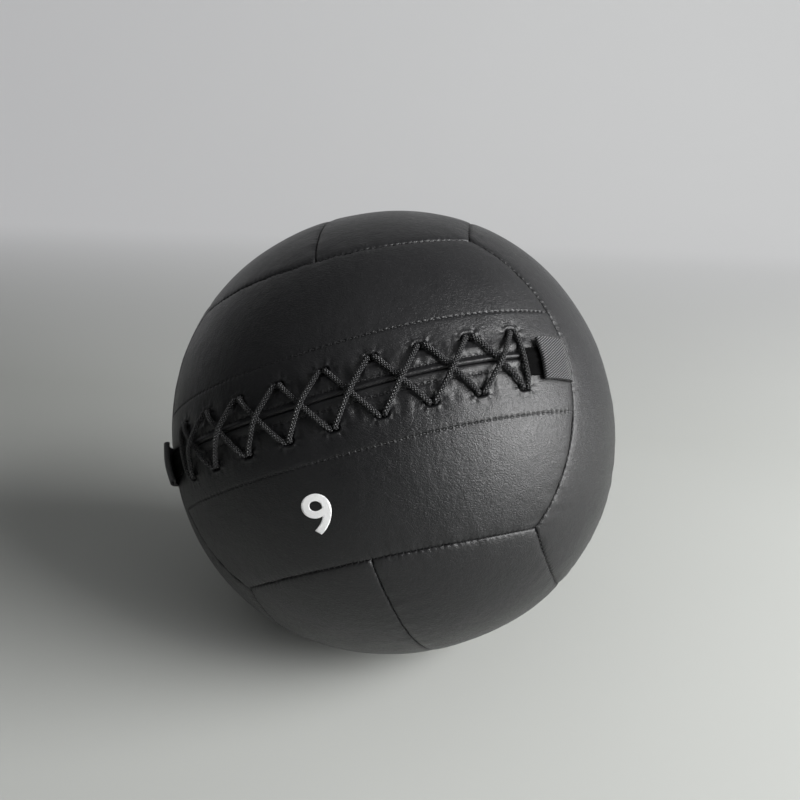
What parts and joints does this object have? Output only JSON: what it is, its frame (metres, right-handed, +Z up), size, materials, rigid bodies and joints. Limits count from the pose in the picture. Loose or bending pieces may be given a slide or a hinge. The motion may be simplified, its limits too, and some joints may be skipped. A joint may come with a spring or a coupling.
{
  "type": "wall ball",
  "caption": "Soft weighted exercise ball of sewn leatherette panels, laced shut along one face, with a short webbing loop at each end of the lacing.",
  "frame": {"origin": "middle of the flat patch on which the ball rests", "axes": "+Z up; -Y towards the laced front face, which looks up by 27 degrees, with its slit rolled by 19 degrees; +X to the right seen from the front"},
  "size_m": [0.3476, 0.3495, 0.3479],
  "materials": {
    "leather": "black leatherette, fine grain, semi-gloss",
    "facing": "black woven nylon",
    "lace": "black braided cord",
    "tape": "matt black tape",
    "webbing": "black webbing with a diagonal weave",
    "bag": "natural cotton",
    "filling": "grey textile fibre",
    "sack": "unbleached canvas",
    "grit": "steel grit",
    "tie": "cotton cord"
  },
  "bodies": {
    "root": {"front_upper_panel": "leather", "front_lower_panel": "leather", "back_upper_panel": "leather", "back_lower_panel": "leather", "right_front_panel": "leather", "right_rear_panel": "leather", "left_front_panel": "leather", "left_rear_panel": "leather", "top_left_panel": "leather", "top_right_panel": "leather", "bottom_left_panel": "leather", "bottom_right_panel": "leather", "upper_facing": "facing", "lower_facing": "facing", "lace": "lace", "right_end_tape": "tape", "left_end_tape": "tape", "right_webbing_loop": "webbing", "left_webbing_loop": "webbing", "inner_bag": "bag", "front_filling": "filling", "rear_filling": "filling", "weight_sack": "sack", "weight_grit": "grit", "sack_tie": "tie"}
  },
  "joints": []
}
